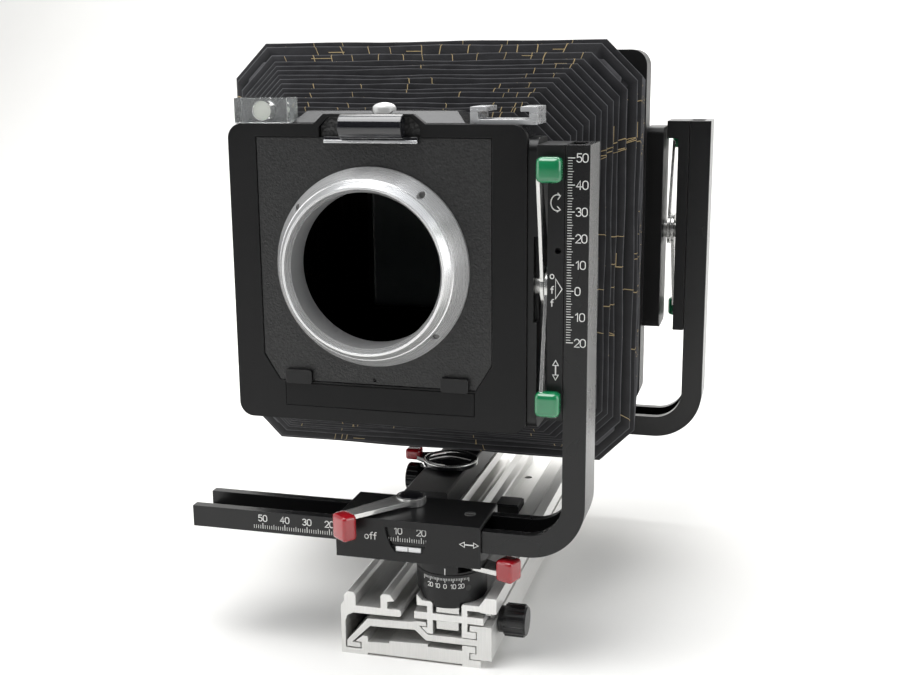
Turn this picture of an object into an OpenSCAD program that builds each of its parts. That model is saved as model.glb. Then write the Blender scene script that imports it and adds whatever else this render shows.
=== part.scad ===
// View camera: telescoping three-part rail, two L-arm standards,
// removable lens board, pleated bellows and a revolving ground-glass back.
// Millimetres. X to the right seen from the lens side, Y to the rear, Z up.

/* [Rail] */
// Length of each rail profile
rail_len = 208; // [190:1:240]
// Front end of the rail
rail_y0 = -3.7; // [-10:0.1:0]

/* [Front standard] */
// Swing axis of the front standard, across
fs_x = 23.4; // [22:0.1:25]
// Swing axis of the front standard, along the rail
fs_y = 10; // [9:0.1:11]
// Height of the L-arm's horizontal leg, underside
arm_z = 50.65; // [50:0.05:52]
// Thickness of the front L-arm
arm_t = 9.2; // [8.8:0.1:9.6]
// Depth of both L-arms
arm_d = 23.1; // [22:0.1:24]
// Outer face of the front arm's upright leg
arm_xo = 81.2; // [80:0.1:90]
// Top of the front arm
arm_top = 214.4; // [210:0.1:220]
// Height of the tilt axes
tilt_z = 159.7; // [155:0.1:165]

/* [Lens board] */
// Width of the lens board
board_w = 96; // [96:0.5:99]
// Height of the lens board
board_h = 98.7; // [96:0.1:99]
// Thickness of the lens board
board_t = 1.7; // [1.5:0.1:2]
// Radius of the clear bore
bore_r = 30.8; // [25:0.1:31]

/* [Rear standard] */
// Front face of the rear arm
ra_y = 174.2; // [172:0.1:178]
// Outer face of the rear arm's upright leg
ra_xo = 113.4; // [112:0.1:118]
// Thickness of the rear L-arm
ra_t = 10.4; // [10:0.1:10.6]
// Width of the rear frame
rf_w = 182; // [178:1:184]
// Height of the rear frame
rf_h = 180; // [176:1:182]

/* [Bellows] */
// Folds in the bellows solid
folds = 14; // [8:1:20]

/* [Hidden] */
// The row's origin is the tripod bush axis on the rail's underside
org = [9.5, 100, 0];
e = 0.01;
tilt_y = 8;
bx = -5.1;                 // centre of the lens board
bz = 216.2 - board_h / 2;  // middle height of the lens board
lz = 165.3;                // optical axis height
lx = -5.6;
rs_x = -9;                 // rear swing axis
rs_y = ra_y + 12.6;
rfx = 82 - rf_w / 2;       // rear frame centre
rfz = tilt_z + 0.3;
rby0 = 90;                 // rear carriage front end
rk_y = 132;                // rear focus shaft
rk_z = 32.5;
fk_y = 11;                 // front focus shaft
fk_z = 16.2;

module at_org() translate([-org[0], -org[1], -org[2]]) children();
// 2-D x,z outline extruded from y0 to y0+d
module xz(y0, d) translate([0, y0 + d, 0]) rotate([90, 0, 0]) linear_extrude(d) children();
// 2-D y,z outline extruded from x0 to x0+d
module yz(x0, d) translate([x0, 0, 0]) rotate([90, 0, 90]) linear_extrude(d) children();
module xy(z0, d) translate([0, 0, z0]) linear_extrude(d) children();
module cx(x0, x1, y, z, r, fn = 48) translate([x0, y, z]) rotate([0, 90, 0]) cylinder(r = r, h = x1 - x0, $fn = fn);
module cy(y0, y1, x, z, r, fn = 48) translate([x, y1, z]) rotate([90, 0, 0]) cylinder(r = r, h = y1 - y0, $fn = fn);
module cz(z0, z1, x, y, r, fn = 48) translate([x, y, z0]) cylinder(r = r, h = z1 - z0, $fn = fn);
module box(x0, x1, y0, y1, z0, z1) translate([x0, y0, z0]) cube([x1 - x0, y1 - y0, z1 - z0]);
// rectangle with round corners, 2-D
module rrect(x0, x1, z0, z1, r) {
  translate([x0 + r, z0]) square([x1 - x0 - 2 * r, z1 - z0]);
  translate([x0, z0 + r]) square([x1 - x0, z1 - z0 - 2 * r]);
  for (p = [[x0 + r, z0 + r], [x1 - r, z0 + r], [x0 + r, z1 - r], [x1 - r, z1 - r]])
    translate(p) circle(r = r, $fn = 40);
}

// ---------- rail ----------
module rail_base() color("silver") difference() {
  union() {
  rear_rack();
  xz(rail_y0, rail_len) polygon([[-21.8, 0], [-10.2, 0], [-10.2, 0.9], [31.1, 0.9], [31.1, 0],
    [39, 0], [39, 3.2], [34.2, 3.2], [34.2, 6.35], [36.8, 6.35], [36.8, 9.2], [31.1, 9.2],
    [31.1, 6.8], [16.4, 6.8], [16.4, 8.0], [-0.5, 7.4], [-0.5, 6.4], [-10, 5.9], [-10, 8.2],
    [-12.3, 8.5], [-15.3, 6.0], [-15.3, 5.6], [-12.9, 5.6], [-12.9, 2.4], [-19.9, 2.4],
    [-19.9, 14.5], [-18.9, 17.2], [-16.4, 18.6], [4.2, 18.9], [4.9, 19.6], [4.9, 21.4],
    [4.2, 22.1], [-1.1, 21.9], [-1.1, 25.1], [2.0, 25.7], [0.2, 28.4], [-2.9, 28.3],
    [-4.0, 27.4], [-4.0, 21.9], [-15.1, 21.9], [-15.1, 26.6], [-16.0, 27.9], [-18.7, 27.9],
    [-20.3, 26.2], [-20.3, 23.5], [-21.8, 21.5]]);
  }
  cz(-1, 10, 9.5, 100, 7.0);
}
module rail_middle() color("silver") difference() {
  xz(rail_y0, rail_len) polygon([[-19.3, 3.0], [-13.4, 3.0], [-13.4, 5.15], [-17.1, 5.15],
    [-8.9, 13.3], [10.9, 13.9], [15.6, 9.65], [37.2, 9.65], [37.2, 6.0], [34.6, 6.0],
    [34.6, 3.6], [43.6, 3.6], [43.6, 18.4], [34.4, 18.4], [34.4, 16.0], [37.4, 16.0],
    [37.4, 12.4], [16.3, 12.4], [12.7, 16.0], [15.7, 16.0], [15.7, 17.8], [11.2, 17.8],
    [8.6, 17.2], [-10.0, 16.5], [-19.3, 5.8]]);
  box(39.9, 43.0, fk_y - 7, fk_y + 7, 9.4, 19);
  cx(37.9, 44, fk_y, fk_z, 1.65);
}
module rail_top() color("silver") difference() {
  xz(rail_y0, rail_len) polygon([[10.6, 19.2], [16.2, 19.2], [16.2, 15.6], [13.9, 15.6],
    [13.9, 15.3], [16.2, 13.0], [18.6, 13.0], [18.6, 19.2], [31.0, 19.2], [31.0, 12.8],
    [37.0, 12.8], [37.0, 15.6], [33.4, 15.6], [33.4, 19.2], [40.2, 19.2], [40.2, 22.2],
    [33.4, 22.2], [33.4, 25.0], [38.6, 25.0], [39.2, 24.6], [45.7, 24.6], [45.7, 31.2],
    [41.0, 31.2], [38.4, 27.4], [31.6, 27.4], [31.0, 26.8], [31.0, 22.2], [18.6, 22.2],
    [18.6, 26.8], [18.0, 27.4], [14.3, 27.4], [11.8, 29.9], [11.8, 25.2], [16.2, 25.2],
    [16.2, 22.2], [10.6, 22.2]]);
  // clamp slots of the standard and the stop-screw hole
  for (y = [4, 16]) cz(19, 22.4, 24.8, y, 2.2);
  cz(19, 22.4, 22, 174, 2.0);
}
module tripod_bush() color("dimgray") difference() {
  cz(0, 6.2, 9.5, 100, 6.95);
  cz(-1, 7, 9.5, 100, 4.0);
}
// 12-tooth pinion and its rack, pitch 3 mm
module pinion(x0, x1, y, z) yz(x0, x1 - x0) translate([y, z]) {
  circle(r = 4.9, $fn = 48);
  for (i = [0:11]) rotate(15 + 30 * i) polygon([[4.6, -0.75], [6.3, -0.4], [6.3, 0.4], [4.6, 0.75]]);
}
module rear_rack() yz(-7.6, 3.0) {
  translate([rk_y - 33, 21.8]) square([51, rk_z - 5.73 - 0.97 - 21.8]);
  for (i = [-10:5]) translate([rk_y + 3 * i, rk_z - 5.73]) polygon([[-0.75, -1.0], [-0.4, 0.33], [0.4, 0.33], [0.75, -1.0]]);
}
module focus_rack() color("gray") yz(40.6, 2.6) polygon(concat(
  [for (i = [-3:62], k = [[-0.75, 1.0], [-0.4, -0.33], [0.4, -0.33], [0.75, 1.0]]) [fk_y + 3 * i + k[0], fk_z + 5.73 + k[1]]],
  [[rail_y0 + rail_len - 2, fk_z + 6.73], [rail_y0 + rail_len - 2, 24.55], [rail_y0 + 2, 24.55], [rail_y0 + 2, fk_z + 6.73]]));
module focus_pinion_shaft() color("gray") {
  cx(38.2, 46.5, fk_y, fk_z, 1.6);
  pinion(40.6, 42.6, fk_y, fk_z);
}
module knob_ribs(x0, x1, y, z, r, n, rr = 0.55) for (i = [0:n - 1]) translate([x0, y, z])
  rotate([i * 360 / n, 0, 0]) translate([0, 0, r]) rotate([0, 90, 0]) cylinder(r = rr, h = x1 - x0, $fn = 10);
module front_focus_knob() color([0.08, 0.08, 0.09]) difference() {
  union() {
    cx(44.0, 46.8, fk_y, fk_z, 5.6);
    cx(46.4, 55.0, fk_y, fk_z, 6.5, 64);
    cx(55.0, 55.6, fk_y, fk_z, 5.9, 64);
    knob_ribs(46.7, 54.6, fk_y, fk_z, 6.35, 15, 0.62);
  }
  cx(43.9, 46.6, fk_y, fk_z, 1.6);
}

// ---------- rear carriage ----------
module rear_carriage() color([0.1, 0.1, 0.11]) {
  difference() {
    union() {
      xz(rby0, 114) polygon([[-22.8, 29], [-22.0, 28.4], [-0.9, 28.8], [-0.7, 29], [-0.7, 39.6],
        [-1.5, 40.4], [-22.0, 40.4], [-22.8, 39.6]]);
      box(-14.7, -4.4, rby0, rby0 + 114, 22.3, 29.4);
    }
    // way for the rack, and the pinion's pocket
    box(-7.9, -4.3, rby0 - 1, rby0 + 115, 22, 28.7);
    box(-7.9, -4.2, rk_y - 7, rk_y + 7, 22, rk_z + 6.7);
    cx(-30, -3.6, rk_y, rk_z, 2.05);
    cz(36.2, 41, -11, 134, 3.04);
  }
  // pivot of the rear standard
  cz(40.3, 44.0, rs_x, rs_y, 3.98);
}
module rear_focus_knob() color([0.08, 0.08, 0.09]) {
  cx(-25, -4.0, rk_y, rk_z, 2.0);
  pinion(-7.6, -4.6, rk_y, rk_z);
  cx(-27.2, -23.1, rk_y, rk_z, 5.6);
  cx(-33.2, -26.6, rk_y, rk_z, 7.0, 64);
  knob_ribs(-32.9, -26.9, rk_y, rk_z, 6.85, 16, 0.62);
}
module rail_stop_block() color([0.15, 0.15, 0.16]) {
  box(18.9, 30.7, 108, 121, 22.3, 29.4);
  box(19.6, 30.0, 108.7, 120.3, 29.3, 30.0);
}
// flat lever in the XY plane: ring at c, blade to p
module flat_lever(c, p, z0, t, rh, w1, w2, rb) {
  d = [p[0] - c[0], p[1] - c[1]];
  L = norm(d);
  a = atan2(d[1], d[0]);
  translate([c[0], c[1], z0]) rotate([0, 0, a]) difference() {
    linear_extrude(t) union() {
      circle(r = rh, $fn = 64);
      polygon([[0, -w1], [L, -w2], [L, w2], [0, w1]]);
    }
    if (rb > 0) translate([0, 0, -1]) cylinder(r = rb, h = t + 2, $fn = 40);
  }
}
module rear_clamp_lever() color("silver") {
  cz(36.3, 41, -11, 134, 3.0);
  cz(40.7, 43.4, -11, 134, 14, 80);
  flat_lever([-11, 134], [-29.8, 137.3], 41.2, 2.2, 13, 12.6, 3.2, 0);
}
module rear_clamp_lever_tip() color("firebrick") difference() {
  hull() for (p = [[-29.0, 134.2], [-29.4, 140.4], [-34.6, 134.6], [-34.6, 140.2]]) cz(40.8, 46.8, p[0], p[1], 1.2, 20);
  flat_lever([-11, 134], [-29.85, 137.3], 41.15, 2.3, 13, 12.7, 3.3, 0);
}

// ---------- standards ----------
function arc(cx, cz, r, a0, a1, n = 20) = [for (i = [0:n]) let (a = a0 + (a1 - a0) * i / n) [cx + r * cos(a), cz + r * sin(a)]];
// U-section L-arm, open towards the inside of the L
module l_arm(xl, xo, zb, zt, t, y0, ch, rin = 14) color([0.07, 0.07, 0.08]) difference() {
  xz(y0, arm_d) polygon(concat([[xl, zb]], arc(xo - t - rin, zb + t + rin, rin + t, -90, 0),
    [[xo, zt], [xo - t, zt]], arc(xo - t - rin, zb + t + rin, rin, 0, -90), [[xl, zb + t]]));
  // channel
  xz(y0 + 4.2, arm_d - 8.4) polygon(concat([[xl - 1, zb + t - ch]], arc(xo - t - rin, zb + t + rin, rin + ch, -90, 0),
    [[xo - t + ch, zt + 1], [xo - t - 1, zt + 1]], arc(xo - t - rin, zb + t + rin, rin - 1, 0, -90), [[xl - 1, zb + t + 1]]));
  for (x = [xl + 12, xo - 50]) cz(zb - 1, zb + t, x, y0 + arm_d / 2, 1.6, 24);
}
module front_arm() l_arm(-88.2, arm_xo, arm_z, arm_top, arm_t, -3.3, 6.2);
module rear_arm() l_arm(-56, ra_xo, arm_z, 215, ra_t, ra_y, 6.8);

module front_clamp_plates() color("silver") {
  difference() { box(20, 29.7, -2.9, 23, 22.5, 25.4); for (y = [4, 16]) cz(22, 26, 24.8, y, 2.05); }
  difference() { box(20, 29.5, -2.9, 23, 15.2, 18.9); for (y = [4, 16]) cz(15, 19, 24.8, y, 2.05); }
  for (y = [4, 16]) cz(15.4, 25.3, 24.8, y, 2.0);
}
module front_swing_base() color([0.08, 0.08, 0.09]) difference() {
  union() {
    cz(31, 39.9, fs_x, fs_y, 14.8, 96);
    // foot: the drum goes on down into the channel of the top rail
    intersection() {
      xz(-6, 34) polygon([[19.4, 25.6], [30.2, 25.6], [30.2, 27.7], [37.7, 27.7], [39.7, 30.9],
        [38.2, 32.5], [8.6, 32.5], [8.6, 30.8], [12.2, 30.8], [14.9, 27.8], [19.4, 27.8]]);
      cz(24, 34, fs_x, fs_y, 14.8, 96);
    }
  }
  cz(28, 41, fs_x, fs_y, 4.05);
}
module front_swing_pivot() color("gray") {
  cz(28.5, 44.0, fs_x, fs_y, 3.98);
}
// block that clamps the arm; the round collar below turns on the swing base
module shift_block(x0, x1, y0, y1, z1, sx, sy, ay, at, zc, win) {
  difference() {
    union() {
      xz(y0, y1 - y0) polygon([[x0, 44.2], [x1, 44.2], [x1, z1 - 0.6], [x1 - 0.6, z1], [x0 + 0.6, z1], [x0, z1 - 0.6]]);
      cz(zc, 44.3, sx, sy, 14.8, 96);
    }
    // through channel for the arm
    box(x0 - 1, x1 + 1, ay - 0.3, ay + arm_d + 0.3, arm_z - 0.3, arm_z + at + 0.3);
    // pocket of the swing lever
    cz(41.0, 43.5, sx, sy, 10.3, 64);
    cz(39, 45.5, sx, sy, 4.05);
    if (win) xz(y0 - 1, 2.3) polygon([[-1.2, 58.7], [-0.4, 54.6], [1.2, 50.6], [3.2, 48.0], [14.2, 48.0], [15.8, 50.4], [16.7, 54.6], [16.7, 58.7]]);
    children();
  }
}
module front_shift_block() color([0.09, 0.09, 0.1]) shift_block(-22.5, 39.4, -4.8, 25, 61.9, fs_x, fs_y, -3.3, arm_t, 40.2, true) {
  xy(41.0, 2.5) polygon([[fs_x, fs_y], [fs_x + 10, fs_y - 22], [fs_x + 26, fs_y - 16], [fs_x + 26, fs_y + 12], [fs_x + 14, fs_y + 18]]);
  cz(60, 63, 4, 16, 3.04);
  for (p = [[-13, 8], [31.5, 9.5]]) cz(60.9, 63, p[0], p[1], 2.45);
}
module front_shift_index() color("lightgray") box(3.2, 14.0, -3.95, -3.5, 48.15, 50.3);
module front_block_screws() color("gray") for (p = [[-13, 8], [31.5, 9.5]]) difference() {
  cz(61.0, 62.2, p[0], p[1], 2.4);
  box(p[0] - 3, p[0] + 3, p[1] - 0.3, p[1] + 0.3, 61.7, 62.4);
}
module front_swing_lever() color("silver") flat_lever([fs_x, fs_y], [48.6, -0.2], 41.15, 2.1, 9.9, 6.0, 3.4, 4.05);
module front_swing_lever_tip() color("firebrick") difference() {
  translate([49.5, -0.7, 38.8]) rotate([0, 0, -22]) hull() for (p = [[-1.9, -3.4], [-1.9, 3.4], [3.4, -2.6], [3.4, 2.6]]) translate([p[0], p[1], 0]) cylinder(r = 1.3, h = 9.6, $fn = 20);
  flat_lever([fs_x, fs_y], [48.65, -0.22], 41.1, 2.2, 9.9, 6.0, 3.5, 0);
}
module front_shift_lever() color("silver") {
  cz(60.35, 62.2, 4, 16, 3.0);
  cz(62.15, 65.6, 4, 16, 6.3, 64);
  flat_lever([4, 16], [-14.6, -8.7], 63.2, 1.9, 6.2, 5.2, 3.3, 0);
}
module front_shift_lever_tip() color("firebrick") difference() {
  translate([4, 16, 54.2]) rotate([0, 0, 233]) hull() for (p = [[32.0, -3.5], [32.0, 3.5], [36.2, -2.9], [36.2, 2.9]]) translate([p[0], p[1], 0]) cylinder(r = 1.3, h = 11.3, $fn = 20);
  flat_lever([4, 16], [-14.65, -8.77], 63.15, 2.0, 6.2, 5.2, 3.4, 0);
}

// carriage that slides on the arm's upright and carries the tilt axis
module rise_carriage(xa, xc, y0, zt, xgap) {
  difference() {
    union() {
      box(xc, xa - 0.25, y0, y0 + arm_d, 108.5, zt);
      box(xa - 0.3, xa + 4.4, y0 + 4.6, y0 + arm_d - 4.6, 110, zt - 1);
      box(xgap, xc + e, y0, y0 + arm_d, zt - 8.6, zt);
    }
    cx(xc - 0.5, xa + 5, y0 + 11.3, tilt_z, 4.54);
    children();
  }
}
module front_rise_carriage() color([0.08, 0.08, 0.09]) rise_carriage(arm_xo - arm_t, 65.4, -3.3, arm_top, 61.2)
  cy(-4, 0.5, 69.5, 174.9, 1.2, 24);
module front_tilt_pin() color("gray") cx(57.6, 75.8, tilt_y, tilt_z, 4.5);
module rear_rise_carriage() color([0.08, 0.08, 0.09]) rise_carriage(ra_xo - ra_t, 97.4, ra_y, 215, 91.8);
module rear_tilt_pin() color("gray") cx(83.4, 107.2, ra_y + 11.3, tilt_z, 4.5);

// blade lever in a Y,Z plane, hub at the tilt axis, leaning towards (yt, zt)
module blade(x0, t, yc, yt, zt, rh) {
  d = [yt - yc, zt - tilt_z];
  L = norm(d);
  a = atan2(d[1], d[0]);
  yz(x0, t) difference() {
    translate([yc, tilt_z]) rotate(a) union() {
      circle(r = rh, $fn = 64);
      polygon([[0, -rh * 0.85], [L, -3], [L, 3], [0, rh * 0.85]]);
    }
    translate([yc, tilt_z]) circle(r = 4.56, $fn = 48);
  }
}
module tip_yz(x0, x1, y0, y1, z0, z1, r) yz(x0, x1 - x0) rrect(y0, y1, z0, z1, r);
module front_tilt_lever() color("silver") blade(62.0, 1.3, tilt_y, -6.2, 203.5, 8);
module front_tilt_lever_tip() color("seagreen") difference() {
  tip_yz(61.9, 71.6, -10.8, -3.9, 200.7, 210.4, 2.4);
  blade(61.95, 1.4, tilt_y, -6.2, 203.5, 8);
}
module front_rise_lever() color("silver") blade(63.6, 1.3, tilt_y, -6.0, 118, 8);
module front_rise_lever_tip() color("seagreen") difference() {
  tip_yz(61.9, 71.6, -10.6, -3.9, 111.0, 121.0, 2.4);
  blade(63.55, 1.4, tilt_y, -6.0, 118, 8);
}
module rear_tilt_lever() color("silver") blade(92.6, 1.4, ra_y + 11.3, ra_y + arm_d + 3.6, 203, 8);
module rear_tilt_lever_tip() color("seagreen") difference() {
  tip_yz(92.4, 102, ra_y + arm_d + 0.6, ra_y + arm_d + 7.4, 200, 209.6, 2.4);
  blade(92.55, 1.5, ra_y + 11.3, ra_y + arm_d + 3.6, 203, 8);
}
module rear_rise_lever() color("silver") blade(94.6, 1.4, ra_y + 11.3, ra_y + arm_d + 3.4, 118, 8);
module rear_rise_lever_tip() color("seagreen") difference() {
  tip_yz(92.4, 102, ra_y + arm_d + 0.6, ra_y + arm_d + 7.4, 111, 121, 2.4);
  blade(94.55, 1.5, ra_y + 11.3, ra_y + arm_d + 3.4, 118, 8);
}

// ---------- front frame ----------
module board_outline(g) polygon([[bx - board_w / 2 - g, 216.2 + g], [bx - board_w / 2 - g, 128.2 - g],
  [bx - board_w / 2 + 6.5, 117.5 - g], [bx + board_w / 2 - 6.5, 117.5 - g], [bx + board_w / 2 + g, 128.2 - g],
  [bx + board_w / 2 + g, 216.2 + g]]);
module front_panel() color([0.08, 0.08, 0.09]) difference() {
  union() {
    xz(0, 3.2) rrect(-65.3, 56.9, 100.8, 221.6, 6);
    xz(0, 3.2) polygon([[-29.5, 220], [17.6, 220], [17.0, 221.6], [12.2, 225.4], [-24.4, 225.4], [-28.6, 221.6]]);
  }
  xz(-1, 3.1) board_outline(0.3);
  xz(-1, 5) rrect(-45, 35, 125, 206, 4);
  xz(-1, 5) polygon([[-26.4, 216.4], [15.0, 216.4], [15.0, 220.6], [11.2, 224.2], [-22.6, 224.2], [-26.4, 220.6]]);
  xz(-1, 1.3) polygon([[-26.4, 213.6], [15.0, 213.6], [15.0, 217], [-26.4, 217]]);
  xz(-1, 1.35) translate([-44.4, 106.6]) square([80.5, 9.9]);
}
module front_housing() color([0.09, 0.09, 0.1]) difference() {
  union() {
    xz(3.2, 18.8) rrect(-63.8, 55.4, 102.4, 221.2, 6);
    // raised ridge with slanted ends along the top
    difference() {
      yz(-40.6, 73.8) polygon([[4.2, 219], [4.2, 221.8], [9.5, 226.2], [20, 226.2], [22, 224], [22, 219]]);
      translate([-40.6, 12, 227.4]) rotate([0, 45, 0]) cube([10, 40, 8], center = true);
      translate([33.2, 12, 227.4]) rotate([0, -45, 0]) cube([10, 40, 8], center = true);
    }
    yz(55.3, 1.7) rrect(3.3, 21.8, 102.4, 217, 4);
  }
  xz(3, 20) rrect(-45, 35, 125, 206, 4);
  cz(221.2, 227, -3.1, 12, 4.8);
}
module front_tilt_bracket() color([0.09, 0.09, 0.1]) difference() {
  yz(57.05, 3.7) rrect(0.6, 21.4, 103, 216.6, 5);
  cx(57, 61, tilt_y, tilt_z, 4.54);
  box(59.4, 62, 0, 4.5, 146, 179.5);
}
module lens_board() color([0.12, 0.12, 0.13]) difference() {
  xz(0.3, board_t) board_outline(0);
  cy(-1, 3, lx, lz, 33.3, 96);
  cy(-1, 1.2, lx, 118.9 + 0.4, 0.8, 20);
}
module lens_ring() color("silver") translate([lx, 0.25, lz]) rotate([90, 0, 0]) difference() {
  rotate_extrude($fn = 128) polygon([[bore_r, -3.8], [36.0, -3.8], [36.0, -1.8], [33.2, -1.8], [33.2, 0], [39.9, 0], [39.9, 1.4],
    [35.75, 8.9], [35.3, 9.1], [35.35, 9.5], [33.2, 12.9], [32.3, 12.9], [bore_r, 9.4]]);
  for (a = [53, 140, -43]) rotate(a) translate([37.2, 0, 2.5]) cylinder(r = 1.35, h = 8, $fn = 24);
}
module lens_ring_screws() color("dimgray") translate([lx, 0.25, lz]) rotate([90, 0, 0])
  for (a = [53, 140, -43]) rotate(a) translate([37.2, 0, 2.5]) cylinder(r = 1.3, h = 1.9, $fn = 24);
module board_latch() color([0.05, 0.05, 0.06]) {
  intersection() {
    cx(-16.5, 8.9, -1.4, 220.6, 4.7, 64);
    box(-17, 9, -7, -0.3, 215, 226);
  }
  box(-16.5, 8.9, -2.6, 1.2, 216.5, 219);
  box(-24, 14.4, -1.6, 0.1, 214.2, 216.7);
}
module latch_backplate() color([0.12, 0.12, 0.13]) xz(2.1, 1.05) polygon([[-26.3, 216.5], [14.9, 216.5], [14.9, 220.5], [11.1, 224.1], [-22.5, 224.1], [-26.3, 220.5]]);
module latch_button() color("lightgray") {
  cz(223.0, 227.2, -3.1, 12, 4.7);
  translate([-3.1, 12, 227.15]) difference() {
    scale([1, 1, 0.5]) sphere(r = 4.7, $fn = 40);
    translate([-10, -10, -20]) cube([20, 20, 20]);
  }
}
module board_clips() color([0.07, 0.07, 0.08]) for (x = [-43.7, 22.4]) {
  xz(-1.5, 1.48) rrect(x, x + 11.4, 116.4, 122.2, 1);
}
module name_plate() color([0.06, 0.06, 0.07]) box(-44.1, 35.8, -0.05, 0.33, 106.9, 116.2);
module level_block() color([0.9, 0.95, 0.95, 0.5]) difference() {
  box(-63.6, -40.9, 3.6, 14.4, 221.3, 231.4);
  cy(3, 12.2, -51.8, 226.4, 3.9);
}
module level_vials() color([0.75, 0.9, 0.6]) cy(4.0, 12.1, -51.8, 226.4, 3.8);
module accessory_shoe() color("lightgray") difference() {
  union() {
    box(33.6, 59.6, 4.6, 22, 221.3, 223.2);
    box(33.6, 36.6, 4.6, 22, 221.3, 228.0);
    box(56.6, 59.6, 4.6, 22, 221.3, 228.0);
    box(33.6, 40.0, 4.6, 22, 226.2, 228.0);
    box(53.2, 59.6, 4.6, 22, 226.2, 228.0);
  }
  for (x = [42, 51]) cz(221, 224, x, 13, 1.2, 24);
}

// ---------- bellows ----------
function bel_t(y) = min(1, (y - 24.4) / 52);
function bel_hw(y) = 60 + 34 * bel_t(y) - 3 * max(0, (y - 80) / 85);
function bel_cx(y) = -3.5 + 0.5 * bel_t(y) - 6 * max(0, (y - 80) / 85);
function bel_cz(y) = 161.5 - 1.5 * bel_t(y);
function bel_ring(y, k) = let (h = bel_hw(y) - k, cxx = bel_cx(y), czz = bel_cz(y), c = 14) [
  [cxx - h, y, czz - h + c], [cxx - h + c, y, czz - h], [cxx + h - c, y, czz - h], [cxx + h, y, czz - h + c],
  [cxx + h, y, czz + h - c], [cxx + h - c, y, czz + h], [cxx - h + c, y, czz + h], [cxx - h, y, czz + h - c]];
bel_n = 2 * folds;
bel_y = [for (i = [0:bel_n]) 24.4 + (165.4 - 24.4) * i / bel_n];
bel_outer = [for (i = [0:bel_n]) each bel_ring(bel_y[i], i % 2 == 0 ? 8 : 0)];
bel_inner = [for (i = [0:bel_n]) each bel_ring(bel_y[i], i % 2 == 0 ? 9.2 : 1.2)];
bel_m = 8 * (bel_n + 1);
module bellows() color([0.1, 0.1, 0.12]) polyhedron(points = concat(bel_outer, bel_inner), faces = concat(
  [for (i = [0:bel_n - 1]) for (j = [0:7]) [8 * i + j, 8 * i + (j + 1) % 8, 8 * i + 8 + (j + 1) % 8, 8 * i + 8 + j]],
  [for (i = [0:bel_n - 1]) for (j = [0:7]) [bel_m + 8 * i + j, bel_m + 8 * i + 8 + j, bel_m + 8 * i + 8 + (j + 1) % 8, bel_m + 8 * i + (j + 1) % 8]],
  [for (j = [0:7]) [j, bel_m + j, bel_m + (j + 1) % 8, (j + 1) % 8]],
  [for (j = [0:7]) [8 * bel_n + j, 8 * bel_n + (j + 1) % 8, bel_m + 8 * bel_n + (j + 1) % 8, bel_m + 8 * bel_n + j]]));

// ---------- rear standard ----------
module rear_shift_block() color([0.09, 0.09, 0.1]) shift_block(-25, 37, ra_y - 1.5, ra_y + 28.3, 63.2, rs_x, rs_y, ra_y, ra_t, 40.65, false) {
  xy(41.0, 2.5) polygon([[rs_x, rs_y], [rs_x - 10, rs_y + 22], [rs_x - 26, rs_y + 18], [rs_x - 26, rs_y - 14], [rs_x - 12, rs_y - 20]]);
  cz(61, 65, -16, rs_y, 3.04);
}
module rear_swing_lever() color("silver") flat_lever([rs_x, rs_y], [rs_x - 26, rs_y + 7], 41.15, 2.1, 9.9, 6.0, 3.4, 4.05);
module rear_swing_lever_tip() color("firebrick") difference() {
  translate([rs_x - 27.2, rs_y + 7.4, 37.4]) rotate([0, 0, 165]) hull() for (p = [[-1.9, -3.4], [-1.9, 3.4], [3.4, -2.6], [3.4, 2.6]]) translate([p[0], p[1], 0]) cylinder(r = 1.3, h = 9.6, $fn = 20);
  flat_lever([rs_x, rs_y], [rs_x - 26.05, rs_y + 7.01], 41.1, 2.2, 9.9, 6.0, 3.5, 0);
}
module rear_shift_lever() color("silver") {
  cz(61.6, 63.5, -16, rs_y, 3.0);
  cz(63.45, 66.9, -16, rs_y, 6.3, 64);
  flat_lever([-16, rs_y], [6, rs_y + 20.6], 64.4, 1.9, 6.2, 5.2, 3.3, 0);
}
module rear_shift_lever_tip() color("firebrick") difference() {
  translate([-16, rs_y, 55]) rotate([0, 0, 43.1]) hull() for (p = [[30.4, -3.5], [30.4, 3.5], [34.6, -2.9], [34.6, 2.9]]) translate([p[0], p[1], 0]) cylinder(r = 1.3, h = 12, $fn = 20);
  flat_lever([-16, rs_y], [6.05, rs_y + 20.65], 64.35, 2.0, 6.2, 5.2, 3.4, 0);
}
fy0 = 166;
module rear_frame() color([0.08, 0.08, 0.09]) difference() {
  union() {
    xz(fy0, 18) rrect(rfx - rf_w / 2, rfx + rf_w / 2, rfz - rf_h / 2, rfz + rf_h / 2, 8);
    box(rfx - 40, rfx + 40, fy0 + 3, fy0 + 18, rfz + rf_h / 2 - e, rfz + rf_h / 2 + 2.2);
    // side bracket of the tilt axis
    yz(81.9, 8.8) rrect(fy0 + 4, ra_y + arm_d, 110, 212, 4);
  }
  cx(82.5, 91, ra_y + 11.3, tilt_z, 4.54);
  xz(fy0 - 1, 16.2) rrect(rfx - 70, rfx + 70, rfz - 70, rfz + 70, 10);
  cy(fy0 + 10, fy0 + 19, rfx, rfz, 82.6, 128);
}
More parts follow.
